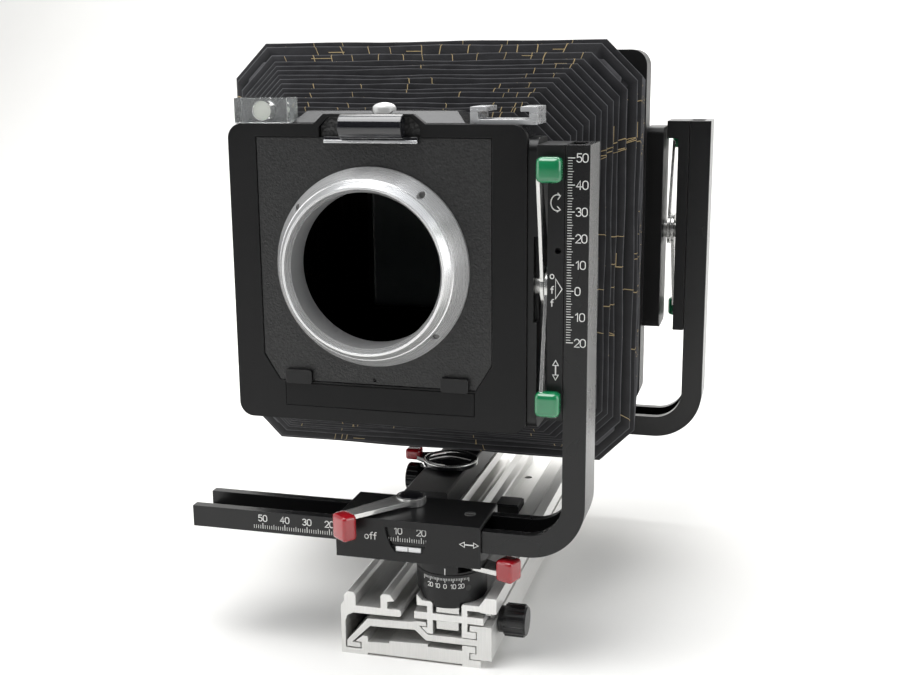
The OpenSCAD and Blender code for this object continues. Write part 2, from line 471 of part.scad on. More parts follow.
// disc that turns in the rear frame
module revolving_back() color([0.1, 0.1, 0.11]) difference() {
  union() {
    cy(fy0 + 15.4, fy0 + 18.4, rfx, rfz, 82.2, 128);
    cy(fy0 + 18.25, fy0 + 22, rfx, rfz, 85.5, 128);
  }
  box(rfx - 61, rfx + 61, fy0 + 14, fy0 + 23, rfz - 49, rfz + 49);
  for (s = [-1, 1]) cy(fy0 + 19.5, fy0 + 23, rfx + s * 74, rfz, 2.0, 24);
}
module ground_glass_frame() color([0.12, 0.12, 0.13]) {
  difference() {
    xz(fy0 + 22.1, 6.4) rrect(rfx - 66, rfx + 66, rfz - 54, rfz + 54, 3);
    box(rfx - 60.4, rfx + 60.4, fy0 + 22, fy0 + 29, rfz - 48.4, rfz + 48.4);
  }
  for (s = [-1, 1]) box(rfx - 60.5, rfx + 60.5, fy0 + 26.6, fy0 + 28.4, rfz + s * 47.4 - 1.2, rfz + s * 47.4 + 1.2);
}
module ground_glass() color([0.85, 0.9, 0.9, 0.6]) box(rfx - 60.2, rfx + 60.2, fy0 + 24.4, fy0 + 26.4, rfz - 48.2, rfz + 48.2);

at_org() rail_base();
at_org() rail_middle();
at_org() rail_top();
at_org() tripod_bush();
at_org() focus_rack();
at_org() focus_pinion_shaft();
at_org() front_focus_knob();
at_org() rear_carriage();
at_org() rear_focus_knob();
at_org() front_clamp_plates();
at_org() front_swing_base();
at_org() front_swing_pivot();
at_org() front_shift_block();
at_org() front_shift_index();
at_org() front_block_screws();
at_org() front_swing_lever();
at_org() front_swing_lever_tip();
at_org() front_shift_lever();
at_org() front_shift_lever_tip();
at_org() front_arm();
at_org() front_rise_carriage();
at_org() front_tilt_pin();
at_org() front_tilt_lever();
at_org() front_tilt_lever_tip();
at_org() front_rise_lever();
at_org() front_rise_lever_tip();
at_org() front_panel();
at_org() front_housing();
at_org() front_tilt_bracket();
at_org() lens_board();
at_org() lens_ring();
at_org() lens_ring_screws();
at_org() board_latch();
at_org() latch_backplate();
at_org() latch_button();
at_org() board_clips();
at_org() name_plate();
at_org() level_block();
at_org() level_vials();
at_org() accessory_shoe();
at_org() bellows();
at_org() rear_clamp_lever();
at_org() rear_clamp_lever_tip();
at_org() rear_shift_block();
at_org() rear_swing_lever();
at_org() rear_swing_lever_tip();
at_org() rear_shift_lever();
at_org() rear_shift_lever_tip();
at_org() rear_arm();
at_org() rear_rise_carriage();
at_org() rear_tilt_pin();
at_org() rear_tilt_lever();
at_org() rear_tilt_lever_tip();
at_org() rear_rise_lever();
at_org() rear_rise_lever_tip();
at_org() rear_frame();
at_org() rail_stop_block();
at_org() revolving_back();
at_org() ground_glass_frame();
at_org() ground_glass();
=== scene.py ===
import bpy, bmesh, math, random
import numpy as np
from mathutils import Vector, Matrix


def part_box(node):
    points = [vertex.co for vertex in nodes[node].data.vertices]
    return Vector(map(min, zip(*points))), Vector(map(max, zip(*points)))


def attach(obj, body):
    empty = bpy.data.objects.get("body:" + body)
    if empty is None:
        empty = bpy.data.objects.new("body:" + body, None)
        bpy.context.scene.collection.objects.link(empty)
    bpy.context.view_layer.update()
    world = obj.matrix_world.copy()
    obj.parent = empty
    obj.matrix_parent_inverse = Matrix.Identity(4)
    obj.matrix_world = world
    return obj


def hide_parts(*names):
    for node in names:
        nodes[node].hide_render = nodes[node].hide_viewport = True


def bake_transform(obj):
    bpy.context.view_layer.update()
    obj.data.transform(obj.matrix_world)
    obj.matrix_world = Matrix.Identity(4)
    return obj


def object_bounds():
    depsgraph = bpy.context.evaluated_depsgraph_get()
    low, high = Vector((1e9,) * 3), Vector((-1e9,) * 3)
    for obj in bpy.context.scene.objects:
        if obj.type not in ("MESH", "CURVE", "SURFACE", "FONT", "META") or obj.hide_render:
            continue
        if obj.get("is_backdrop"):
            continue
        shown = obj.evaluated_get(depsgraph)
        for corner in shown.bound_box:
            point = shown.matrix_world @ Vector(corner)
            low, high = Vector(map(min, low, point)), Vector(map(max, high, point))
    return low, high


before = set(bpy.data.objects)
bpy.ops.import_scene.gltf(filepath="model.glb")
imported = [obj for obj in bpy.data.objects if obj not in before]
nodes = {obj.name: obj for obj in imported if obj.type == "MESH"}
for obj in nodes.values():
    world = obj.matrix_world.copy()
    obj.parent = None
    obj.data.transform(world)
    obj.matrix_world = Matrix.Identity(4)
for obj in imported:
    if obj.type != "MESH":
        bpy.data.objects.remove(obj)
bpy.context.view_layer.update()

OX, OY, OZ = 9.5, 100.0, 0.0     # the drawing's millimetres to the part's metres
def C(x, y, z):
    return Vector(((x - OX) / 1000.0, (y - OY) / 1000.0, (z - OZ) / 1000.0))

rng = random.Random(7)

# ------------------------------------------------------------------ camera
yaw, pitch, roll = math.radians(15.407), math.radians(12.543), math.radians(-0.519)
cf = Vector((-math.sin(yaw) * math.cos(pitch), math.cos(yaw) * math.cos(pitch), -math.sin(pitch)))
cr = Vector((math.cos(yaw), math.sin(yaw), 0))
cu = cr.cross(cf)
r2 = math.cos(roll) * cr + math.sin(roll) * cu
u2 = -math.sin(roll) * cr + math.cos(roll) * cu
cam_data = bpy.data.cameras.new("camera")
cam_data.sensor_width = 36.0
cam_data.lens = 49.52
cam_data.clip_start = 0.01
cam_data.clip_end = 20
cam = bpy.data.objects.new("camera", cam_data)
bpy.context.scene.collection.objects.link(cam)
m = Matrix((r2, u2, -cf)).transposed().to_4x4()
m.translation = C(152.70, -459.33, 244.63)
cam.matrix_world = m
bpy.context.scene.camera = cam

# ------------------------------------------------------------------ materials
def new_mat(name):
    mt = bpy.data.materials.new(name)
    mt.use_nodes = True
    nt = mt.node_tree
    b = nt.nodes["Principled BSDF"]
    return mt, nt, b

def sock(b, names, v):
    for n in names:
        if n in b.inputs:
            b.inputs[n].default_value = v
            return

def obj_coords(nt, scale=(1, 1, 1), rot=(0, 0, 0), loc=(0, 0, 0)):
    tc = nt.nodes.new("ShaderNodeTexCoord")
    mp = nt.nodes.new("ShaderNodeMapping")
    mp.inputs["Scale"].default_value = scale
    mp.inputs["Rotation"].default_value = rot
    mp.inputs["Location"].default_value = loc
    nt.links.new(tc.outputs["Object"], mp.inputs["Vector"])
    return mp.outputs["Vector"]

def noise(nt, vec, scale, detail=4, rough=0.55):
    n = nt.nodes.new("ShaderNodeTexNoise")
    n.inputs["Scale"].default_value = scale
    n.inputs["Detail"].default_value = detail
    n.inputs["Roughness"].default_value = rough
    nt.links.new(vec, n.inputs["Vector"])
    return n.outputs["Fac"]

def ramp(nt, fac, stops):
    r = nt.nodes.new("ShaderNodeValToRGB")
    els = r.color_ramp.elements
    els[0].position, els[0].color = stops[0][0], stops[0][1]
    els[1].position, els[1].color = stops[-1][0], stops[-1][1]
    for p, c in stops[1:-1]:
        e = els.new(p); e.color = c
    nt.links.new(fac, r.inputs["Fac"])
    return r.outputs["Color"]

def g(v, a=1):
    return (v, v, v, a)

def rgb(r, gg, b):
    return (r, gg, b, 1)

def maprange(nt, fac, lo, hi):
    r = nt.nodes.new("ShaderNodeMapRange")
    r.inputs["To Min"].default_value = lo
    r.inputs["To Max"].default_value = hi
    nt.links.new(fac, r.inputs["Value"])
    return r.outputs["Result"]

def bump(nt, b, height, dist, strength=1.0, prev=None):
    n = nt.nodes.new("ShaderNodeBump")
    n.inputs["Distance"].default_value = dist
    n.inputs["Strength"].default_value = strength
    nt.links.new(height, n.inputs["Height"])
    if prev is not None:
        nt.links.new(prev, n.inputs["Normal"])
    nt.links.new(n.outputs["Normal"], b.inputs["Normal"])
    return n.outputs["Normal"]

def bevel_normal(nt, radius):
    n = nt.nodes.new("ShaderNodeBevel")
    n.samples = 4
    n.inputs["Radius"].default_value = radius
    return n.outputs["Normal"]

def black_metal(name, v=0.018, rough=0.34, grain=2600, gbump=0.00002, edge=0.0004, spec=0.5, rvar=0.08, tint=(1.0, 1.0, 1.04)):
    mt, nt, b = new_mat(name)
    vec = obj_coords(nt)
    big = noise(nt, vec, 18, 3)
    fine = noise(nt, vec, grain, 2, 0.6)
    col = ramp(nt, big, [(0.3, rgb(v * 0.8 * tint[0], v * 0.8 * tint[1], v * 0.8 * tint[2])), (0.75, rgb(v * 1.25 * tint[0], v * 1.25 * tint[1], v * 1.25 * tint[2]))])
    nt.links.new(col, b.inputs["Base Color"])
    nt.links.new(maprange(nt, big, rough - rvar, rough + rvar), b.inputs["Roughness"])
    sock(b, ["Specular IOR Level", "Specular"], spec)
    bump(nt, b, fine, gbump, 1.0, bevel_normal(nt, edge))
    return mt

def alu(name, v=0.78, rough=0.3, streak=(60, 1.2, 60), sb=0.00002, warm=(1.0, 0.995, 0.97), metallic=0.65, edge=0.0003, sawn=False):
    mt, nt, b = new_mat(name)
    vec = obj_coords(nt, streak)
    s = noise(nt, vec, 30, 4, 0.6)
    vec2 = obj_coords(nt)
    big = noise(nt, vec2, 25, 4)
    if sawn:
        # end faces show fine upright saw marks, the sides long extrusion lines
        vz = obj_coords(nt, (70, 70, 3))
        sz = noise(nt, vz, 30, 3, 0.6)
        tc = nt.nodes.new("ShaderNodeTexCoord")
        sx = nt.nodes.new("ShaderNodeSeparateXYZ")
        nt.links.new(tc.outputs["Normal"], sx.inputs[0])
        ab = nt.nodes.new("ShaderNodeMath"); ab.operation = "ABSOLUTE"
        nt.links.new(sx.outputs["Y"], ab.inputs[0])
        gt = nt.nodes.new("ShaderNodeMath"); gt.operation = "GREATER_THAN"; gt.inputs[1].default_value = 0.9
        nt.links.new(ab.outputs[0], gt.inputs[0])
        mx = nt.nodes.new("ShaderNodeMix"); mx.data_type = "FLOAT"
        nt.links.new(gt.outputs[0], mx.inputs["Factor"])
        nt.links.new(s, mx.inputs[2]); nt.links.new(sz, mx.inputs[3])
        s = mx.outputs[0]
    av = nt.nodes.new("ShaderNodeMath"); av.operation = "MULTIPLY_ADD"
    av.inputs[1].default_value = 0.5
    nt.links.new(s, av.inputs[0]); nt.links.new(maprange(nt, big, 0.0, 0.5), av.inputs[2])
    col = ramp(nt, av.outputs[0], [(0.25, rgb(v * 0.86 * warm[0], v * 0.86 * warm[1], v * 0.86 * warm[2])), (0.75, rgb(v * 1.06 * warm[0], v * 1.06 * warm[1], v * 1.06 * warm[2]))])
    nt.links.new(col, b.inputs["Base Color"])
    b.inputs["Metallic"].default_value = metallic
    nt.links.new(maprange(nt, s, rough - 0.07, rough + 0.1), b.inputs["Roughness"])
    bump(nt, b, s, sb, 1.0, bevel_normal(nt, edge))
    return mt

def pebbled(name, v=0.035, cell=1500, h=0.00010, rough=0.48):
    mt, nt, b = new_mat(name)
    vec = obj_coords(nt)
    vo = nt.nodes.new("ShaderNodeTexVoronoi")
    vo.inputs["Scale"].default_value = cell
    nt.links.new(vec, vo.inputs["Vector"])
    n2 = noise(nt, vec, cell * 0.7, 3)
    add = nt.nodes.new("ShaderNodeMath"); add.operation = "ADD"
    nt.links.new(vo.outputs["Distance"], add.inputs[0]); nt.links.new(n2, add.inputs[1])
    col = ramp(nt, n2, [(0.35, g(v * 0.62)), (0.7, g(v * 1.5))])
    nt.links.new(col, b.inputs["Base Color"])
    b.inputs["Roughness"].default_value = rough
    bump(nt, b, add.outputs[0], h, 1.0)
    return mt

def gloss(name, col, rough=0.12, coat=0.6, var=0.12, edge=0.0006, sss=0.0):
    mt, nt, b = new_mat(name)
    vec = obj_coords(nt)
    big = noise(nt, vec, 60, 3)
    fine = noise(nt, vec, 900, 2)
    c = ramp(nt, big, [(0.3, rgb(*[x * (1 - var) for x in col])), (0.75, rgb(*[min(1, x * (1 + var)) for x in col]))])
    nt.links.new(c, b.inputs["Base Color"])
    nt.links.new(maprange(nt, big, rough * 0.7, rough * 1.4), b.inputs["Roughness"])
    sock(b, ["Coat Weight", "Clearcoat"], coat)
    sock(b, ["Coat Roughness", "Clearcoat Roughness"], 0.06)
    bump(nt, b, fine, 0.000006, 1.0, bevel_normal(nt, edge))
    return mt

def turned(name, centre, axis="Y", v=0.86, rough=0.22):
    """Aluminium turned on a lathe: fine rings about an axis."""
    mt, nt, b = new_mat(name)
    tc = nt.nodes.new("ShaderNodeTexCoord")
    sub = nt.nodes.new("ShaderNodeVectorMath"); sub.operation = "SUBTRACT"
    sub.inputs[1].default_value = centre
    nt.links.new(tc.outputs["Object"], sub.inputs[0])
    mul = nt.nodes.new("ShaderNodeVectorMath"); mul.operation = "MULTIPLY"
    mul.inputs[1].default_value = (1, 0, 1) if axis == "Y" else ((0, 1, 1) if axis == "X" else (1, 1, 0))
    nt.links.new(sub.outputs[0], mul.inputs[0])
    ln = nt.nodes.new("ShaderNodeVectorMath"); ln.operation = "LENGTH"
    nt.links.new(mul.outputs[0], ln.inputs[0])
    n = nt.nodes.new("ShaderNodeTexNoise"); n.noise_dimensions = "1D"
    n.inputs["Scale"].default_value = 5200
    n.inputs["Detail"].default_value = 3
    nt.links.new(ln.outputs["Value"], n.inputs["W"])
    vec = obj_coords(nt)
    big = noise(nt, vec, 40, 3)
    c = ramp(nt, big, [(0.3, g(v * 0.93)), (0.75, g(v * 1.03))])
    nt.links.new(c, b.inputs["Base Color"])
    b.inputs["Metallic"].default_value = 0.75
    nt.links.new(maprange(nt, n.outputs["Fac"], rough - 0.05, rough + 0.08), b.inputs["Roughness"])
    bump(nt, b, n.outputs["Fac"], 0.000008, 1.0, bevel_normal(nt, 0.0003))
    return mt

M = {}
M["rail"] = alu("rail_satin", 0.80, 0.36, sawn=True)
M["rail_mid"] = alu("rail_satin_b", 0.76, 0.38, sawn=True)
M["steel"] = alu("steel_brushed", 0.50, 0.28, (30, 30, 3), 0.000008)
M["black"] = black_metal("anodised_black", 0.0075, 0.36, spec=0.34)
M["arm"] = black_metal("anodised_black_arm", 0.0065, 0.27, rvar=0.05, spec=0.40)
M["panel"] = black_metal("painted_black_fine", 0.0055, 0.42, grain=1500, gbump=0.00004, edge=0.0006, spec=0.26)
M["housing"] = black_metal("anodised_black_top", 0.008, 0.20, rvar=0.05, edge=0.0005)
M["knob"] = black_metal("knob_black", 0.008, 0.25, edge=0.0004)
M["board"] = pebbled("pebbled_board", 0.014, 1150, 0.00011, 0.44)
M["backplate"] = pebbled("pebbled_plate", 0.035, 700, 0.00030, 0.40)
M["ring"] = turned("turned_ring", tuple(C(-5.6, 0, 165.3)), "Y", 0.90, 0.27)
M["latch"] = gloss("gloss_black", (0.008, 0.008, 0.010), 0.08, 0.8)
M["plate"] = black_metal("satin_plate", 0.006, 0.46, spec=0.22)
M["white"] = gloss("button_white", (0.72, 0.72, 0.70), 0.12, 0.6, 0.04)
M["red"] = gloss("tip_red", (0.32, 0.007, 0.013), 0.12, 0.8)
M["green"] = gloss("tip_green", (0.008, 0.20, 0.075), 0.12, 1.0)
M["silver"] = alu("lever_silver", 0.70, 0.22, (3, 3, 3), 0.000004, metallic=0.8)
M["shoe"] = alu("shoe_silver", 0.72, 0.26, (2, 12, 12), 0.000006, (0.985, 0.99, 1.0), 0.7)
M["dark_screw"] = alu("screw_dark", 0.16, 0.32, (5, 5, 5), 0.000004)

def ink(name, col, rough=0.5):
    mt, nt, b = new_mat(name)
    vec = obj_coords(nt)
    n = noise(nt, vec, 1400, 2)
    c = ramp(nt, n, [(0.3, rgb(*[x * 0.88 for x in col])), (0.7, rgb(*col))])
    nt.links.new(c, b.inputs["Base Color"])
    b.inputs["Roughness"].default_value = rough
    return mt
M["ink"] = ink("ink_white", (0.78, 0.78, 0.76))
M["ink_dark_and_shade"] = ink("ink_dark_and_shade", (0.02, 0.02, 0.02))
M["cream"] = ink("crack_cream", (0.50, 0.38, 0.19), 0.6)

def clear(name, tint=(0.97, 0.99, 0.98)):
    mt, nt, b = new_mat(name)
    vec = obj_coords(nt)
    n = noise(nt, vec, 300, 2)
    c = ramp(nt, n, [(0.3, rgb(*[x * 0.97 for x in tint])), (0.7, rgb(*tint))])
    nt.links.new(c, b.inputs["Base Color"])
    b.inputs["Roughness"].default_value = 0.03
    b.inputs["IOR"].default_value = 1.49
    sock(b, ["Transmission Weight", "Transmission"], 0.9)
    bump(nt, b, n, 0.00001, 1.0, bevel_normal(nt, 0.0004))
    return mt
M["clear"] = clear("acrylic_clear")
def vial_mat():
    mt, nt, b = new_mat("vial_fluid")
    vec = obj_coords(nt)
    n = noise(nt, vec, 120, 2)
    c = ramp(nt, n, [(0.3, rgb(0.88, 0.91, 0.84)), (0.7, rgb(0.95, 0.97, 0.92))])
    nt.links.new(c, b.inputs["Base Color"])
    b.inputs["Roughness"].default_value = 0.1
    sock(b, ["Transmission Weight", "Transmission"], 0.35)
    return mt
M["vial"] = vial_mat()

def glass_mat():
    mt, nt, b = new_mat("ground_glass")
    vec = obj_coords(nt)
    n = noise(nt, vec, 2500, 2)
    c = ramp(nt, n, [(0.3, rgb(0.30, 0.33, 0.325)), (0.7, rgb(0.36, 0.39, 0.385))])
    nt.links.new(c, b.inputs["Base Color"])
    b.inputs["Roughness"].default_value = 0.35
    sock(b, ["Transmission Weight", "Transmission"], 0.06)
    bump(nt, b, n, 0.00004)
    return mt
M["glass"] = glass_mat()

def bellows_mat():
    """Black leatherette: grain, faint creases, and painted sheen: fold edges and the top walls of the two wide pleats
    painted lighter grey by a point attribute.
    """
    mt, nt, b = new_mat("bellows_leatherette")
    vec = obj_coords(nt)
    big = noise(nt, vec, 35, 4)
    fine = noise(nt, vec, 1500, 3)
    mid = noise(nt, vec, 160, 4)
    # point attribute that says where the painted sheen and painted top light go
    at = nt.nodes.new("ShaderNodeAttribute"); at.attribute_name = "painted_light"
    mul = nt.nodes.new("ShaderNodeMath"); mul.operation = "MULTIPLY"
    nt.links.new(at.outputs["Fac"], mul.inputs[0]); nt.links.new(maprange(nt, mid, 0.3, 1.3), mul.inputs[1])
    c1 = ramp(nt, big, [(0.3, rgb(0.0050, 0.0050, 0.0056)), (0.75, rgb(0.0085, 0.0085, 0.0105))])
    mx = nt.nodes.new("ShaderNodeMix"); mx.data_type = "RGBA"
    nt.links.new(mul.outputs[0], mx.inputs["Factor"])
    nt.links.new(c1, mx.inputs[6])
    # painted sheen: the grey that the fold edges and the lit top walls are painted
    mx.inputs[7].default_value = (0.17, 0.17, 0.18, 1)
    sock(b, ["Specular IOR Level", "Specular"], 0.22)
    nt.links.new(mx.outputs[2], b.inputs["Base Color"])
    nt.links.new(maprange(nt, mid, 0.36, 0.54), b.inputs["Roughness"])
    add = nt.nodes.new("ShaderNodeMath"); add.operation = "ADD"
    nt.links.new(fine, add.inputs[0]); nt.links.new(maprange(nt, mid, 0, 2.0), add.inputs[1])
    bump(nt, b, add.outputs[0], 0.00008)
    return mt
M["bellows"] = bellows_mat()

def crinkle_inside():
    return black_metal("inside_black", 0.006, 0.8, spec=0.1)
M["inside"] = crinkle_inside()

node_mat = {
    "rail_base": "rail", "rail_middle": "rail_mid", "rail_top": "rail", "tripod_bush": "steel", "focus_rack": "steel",
    "focus_pinion_shaft": "steel", "front_focus_knob": "knob", "rear_carriage": "black", "rear_focus_knob": "knob",
    "front_clamp_plates": "silver", "front_swing_base": "black", "front_swing_pivot": "steel", "front_shift_block": "black",
    "front_shift_index": "shoe", "front_block_screws": "dark_screw", "front_swing_lever": "silver",
    "front_swing_lever_tip": "red", "front_shift_lever": "silver", "front_shift_lever_tip": "red", "front_arm": "arm",
    "front_rise_carriage": "black", "front_tilt_pin": "steel", "front_tilt_lever": "silver", "front_tilt_lever_tip": "green",
    "front_rise_lever": "silver", "front_rise_lever_tip": "green", "front_panel": "panel", "front_housing": "housing",
    "front_tilt_bracket": "black", "lens_board": "board", "lens_ring": "ring", "lens_ring_screws": "dark_screw",
    "board_latch": "latch", "latch_backplate": "backplate", "latch_button": "white", "board_clips": "black",
    "name_plate": "plate", "level_block": "clear", "level_vials": "vial", "accessory_shoe": "shoe", "bellows": "bellows",
    "rear_clamp_lever": "latch", "rear_clamp_lever_tip": "red", "rear_shift_block": "black", "rear_swing_lever": "silver",
    "rear_swing_lever_tip": "red", "rear_shift_lever": "silver", "rear_shift_lever_tip": "red", "rear_arm": "arm",
    "rear_rise_carriage": "black", "rear_tilt_pin": "steel", "rear_tilt_lever": "silver", "rear_tilt_lever_tip": "green",
    "rear_rise_lever": "silver", "rear_rise_lever_tip": "green", "rear_frame": "panel", "rail_stop_block": "black",
    "revolving_back": "black", "ground_glass_frame": "black", "ground_glass": "glass"}
for n, o in nodes.items():
    mt = M[node_mat[n]]
    if len(o.data.materials) == 0:
        o.data.materials.append(mt)
    for s in o.material_slots:
        s.material = mt

# ------------------------------------------------------------------ mesh helpers
def make(name, verts, faces, body, mat, smooth=False, mats=None, mat_idx=None):
    me = bpy.data.meshes.new(name)
    me.from_pydata([tuple(v) for v in verts], [], faces)
    me.validate()
    me.update()
    o = bpy.data.objects.new(name, me)
    bpy.context.scene.collection.objects.link(o)
    for x in (mats or [mat]):
        me.materials.append(M[x])
    if mat_idx is not None:
        for p, i in zip(me.polygons, mat_idx):
            p.material_index = i
    if smooth:
        for p in me.polygons:
            p.use_smooth = True
    if body:
        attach(o, body)
    return o

class Flat:
    """Collects thin raised marks on a face. place maps (u, v) in millimetres and a height h above the face to the row frame."""
    def __init__(self, place):
        self.place, self.v, self.f, self.k = place, [], [], 0
    def lift(self):
        self.k += 1
        return 0.045 + 0.004 * (self.k % 6)
    def quad(self, pts, h=None):
        h = h or self.lift()
        n = len(self.v); k = len(pts); m = n + k
        self.v += [self.place(u, v, h) for u, v in pts] + [self.place(u, v, -0.02) for u, v in pts]
        self.f.append(tuple(range(n, n + k)))
        for i in range(k):
            self.f.append((n + i, m + i, m + (i + 1) % k, n + (i + 1) % k))
        self.f.append(tuple(range(m + k - 1, m - 1, -1)))
    def line(self, a, b, w):
        ax, ay = a; bx, by = b
        L = math.hypot(bx - ax, by - ay) or 1e-6
        nx, ny = -(by - ay) / L * w / 2, (bx - ax) / L * w / 2
        self.quad([(ax + nx, ay + ny), (ax - nx, ay - ny), (bx - nx, by - ny), (bx + nx, by + ny)])
    def stroke(self, pts, w, closed=False):
        pts = [tuple(q) for q in pts]
        if len(pts) > 3 and math.hypot(pts[0][0] - pts[-1][0], pts[0][1] - pts[-1][1]) < 1e-5:
            closed = True; pts = pts[:-1]
        n = len(pts); h = self.lift(); Ls, Rs = [], []
        def d(a, b):
            x, y = b[0] - a[0], b[1] - a[1]; l = math.hypot(x, y) or 1e-9
            return (x / l, y / l)
        for i in range(n):
            q = pts[i]
            d1 = d(pts[i - 1], q) if (i > 0 or closed) else None
            d2 = d(q, pts[(i + 1) % n]) if (i < n - 1 or closed) else None
            if d1 is None: d1 = d2; q = (q[0] - d2[0] * w * 0.4, q[1] - d2[1] * w * 0.4)
            if d2 is None: d2 = d1; q = (q[0] + d1[0] * w * 0.4, q[1] + d1[1] * w * 0.4)
            n1, n2 = (-d1[1], d1[0]), (-d2[1], d2[0])
            mx, my = n1[0] + n2[0], n1[1] + n2[1]
            l = math.hypot(mx, my) or 1e-9
            mx, my = mx / l, my / l
            sc = min(1.7, 1 / max(0.3, mx * n1[0] + my * n1[1])) * w / 2
            Ls.append((q[0] + mx * sc, q[1] + my * sc)); Rs.append((q[0] - mx * sc, q[1] - my * sc))
        b0 = len(self.v)
        for z in (h, -0.02):
            self.v += [self.place(u, v, z) for u, v in Ls] + [self.place(u, v, z) for u, v in Rs]
        L, R, l, r = b0, b0 + n, b0 + 2 * n, b0 + 3 * n
        for i in range(n if closed else n - 1):
            j = (i + 1) % n
            self.f += [(L + i, R + i, R + j, L + j), (l + j, r + j, r + i, l + i), (L + i, L + j, l + j, l + i), (R + j, R + i, r + i, r + j)]
        if not closed:
            self.f += [(L, l, r, R), (L + n - 1, R + n - 1, r + n - 1, l + n - 1)]
    def poly(self, pts, w, closed=False):
        self.stroke(pts, w, closed)
    def build(self, name, body, mat="ink"):
        o = make(name, self.v, self.f, body, mat)
        bm = bmesh.new(); bm.from_mesh(o.data)
        bmesh.ops.recalc_face_normals(bm, faces=bm.faces)
        bm.to_mesh(o.data); bm.free()
        return o

def arc(cx, cy, rx, ry, a0, a1, n=8):
    return [(cx + rx * math.cos(math.radians(a0 + (a1 - a0) * i / n)), cy + ry * math.sin(math.radians(a0 + (a1 - a0) * i / n))) for i in range(n + 1)]

# plain engraved numerals on a 0.62 x 1 grid
GLYPH = {
    "0": [arc(0.31, 0.69, 0.31, 0.31, 180, 0, 10) + arc(0.31, 0.31, 0.31, 0.31, 0, -180, 10) + [(0.0, 0.69)]],
    "1": [[(0.12, 0.78), (0.36, 1.0), (0.36, 0.0)]],
    "2": [arc(0.31, 0.70, 0.30, 0.30, 165, -35, 10) + [(0.0, 0.0), (0.62, 0.0)]],
    "3": [arc(0.29, 0.75, 0.27, 0.25, 150, -90, 8), arc(0.29, 0.27, 0.31, 0.27, 90, -150, 10)],
    "4": [[(0.46, 0.0), (0.46, 1.0), (0.0, 0.30), (0.64, 0.30)]],
    "5": [[(0.56, 1.0), (0.10, 1.0), (0.05, 0.56)] + arc(0.29, 0.32, 0.31, 0.32, 120, -150, 10)],
    "o": [arc(0.27, 0.31, 0.27, 0.31, 0, 360, 14)],
    "f": [[(0.20, 0.0), (0.20, 0.80)] + arc(0.38, 0.80, 0.18, 0.18, 180, 70, 5), [(0.02, 0.60), (0.38, 0.60)]],
}
def text(fl, s, u, v, h, w=0.42, align="c", gap=0.17):
    adv = {"0": 0.62, "1": 0.48, "2": 0.62, "3": 0.62, "4": 0.66, "5": 0.62, "o": 0.54, "f": 0.38}
    total = sum(adv[c] for c in s) + gap * (len(s) - 1)
    x = u - (total * h / 2 if align == "c" else (total * h if align == "r" else 0))
    for ch in s:
        for st in GLYPH[ch]:
            fl.stroke([(x + p[0] * h, v + p[1] * h) for p in st], w)
        x += (adv[ch] + gap) * h

def front(y):                       # a face that looks to -Y
    return lambda u, v, h: C(u, y - h, v)
def back(y):
    return lambda u, v, h: C(u, y + h, v)

# ------------------------------------------------------------------ scales and signs
# vertical scale on the front arm
fl = Flat(front(-3.3))
for s in range(-20, 51):
    z = 159.7 + s
    major = s % 10 == 0
    mid = s % 5 == 0
    fl.line((72.9, z), (75.6 if major else (75.1 if mid else 74.6), z), 0.34 if major else 0.22)
for s, t in ((50, "50"), (40, "40"), (30, "30"), (20, "20"), (10, "10"), (0, "0"), (-10, "10"), (-20, "20")):
    text(fl, t, 76.15, 159.7 + s - 1.55, 3.1, 0.35, "l", 0.12)
fl.build("arm_scale_rise", "front_arm", "ink")
# horizontal scale on the front arm
fl = Flat(front(-3.3))
for s in range(-54, 26):
    x = -5.94 + s
    major = s % 10 == 0
    fl.line((x, 52.2), (x, 54.7 if major else (54.3 if s % 5 == 0 else 53.8)), 0.32 if major else 0.22)
for s in (-50, -40, -30, -20, -10, 0, 10, 20):
    text(fl, str(abs(s)), -5.94 + s, 55.5, 2.7, 0.40)
fl.build("arm_scale_shift", "front_arm", "ink")
# signs on the front block
fl = Flat(front(-4.8))
text(fl, "off", -7.4, 52.9, 3.0, 0.36)
for sgn in (-1, 1):
    tip = 34.6 + sgn * 3.9
    fl.poly([(tip, 54.2), (tip - sgn * 2.0, 55.3), (tip - sgn * 2.0, 53.1)], 0.3, True)
fl.line((34.6 - 1.9, 54.2), (34.6 + 1.9, 54.2), 0.5)
fl.build("block_signs", "front_block", "ink")
fl = Flat(front(-3.95))
fl.line((8.5, 48.3), (8.5, 50.2), 0.35)
fl.build("window_index_line", "front_block", "ink_dark_and_shade")
# swing scale round the base
def on_cyl(cx, cy, r):
    def f(u, v, h):
        a = u / r
        return C(cx + (r + h) * math.sin(a), cy - (r + h) * math.cos(a), v)
    return f
R = 14.8
fl = Flat(on_cyl(23.4, 10, R))
U0 = 0.95
for s in range(-30, 31, 2):
    u = U0 + s * 0.335
    fl.line((u, 38.7), (u, 36.9 if s % 10 == 0 else 37.7), 0.26 if s % 10 == 0 else 0.18)
for s in (-20, -10, 0, 10, 20):
    text(fl, str(abs(s)), U0 + s * 0.335, 34.3, 1.85, 0.25, gap=0.10)
fl.build("swing_scale", "rail_top", "ink")
fl = Flat(on_cyl(23.4, 10, R))
fl.line((U0, 40.2), (U0, 43.0), 0.36)
fl.build("swing_index", "front_block", "ink")
# two spanner holes in the swing base, drawn as flat dark discs of painted shade instead of cut holes
for k, a in enumerate((-33, 42)):
    u0 = math.radians(a) * R
    pts = [(u0 + 1.25 * math.cos(t * math.pi / 10), 34.0 + 1.25 * math.sin(t * math.pi / 10)) for t in range(20)]
    fl = Flat(on_cyl(23.4, 10, R)); fl.quad(pts, 0.04)
    fl.build("swing_base_hole_%d" % k, "rail_top", "ink_dark_and_shade")
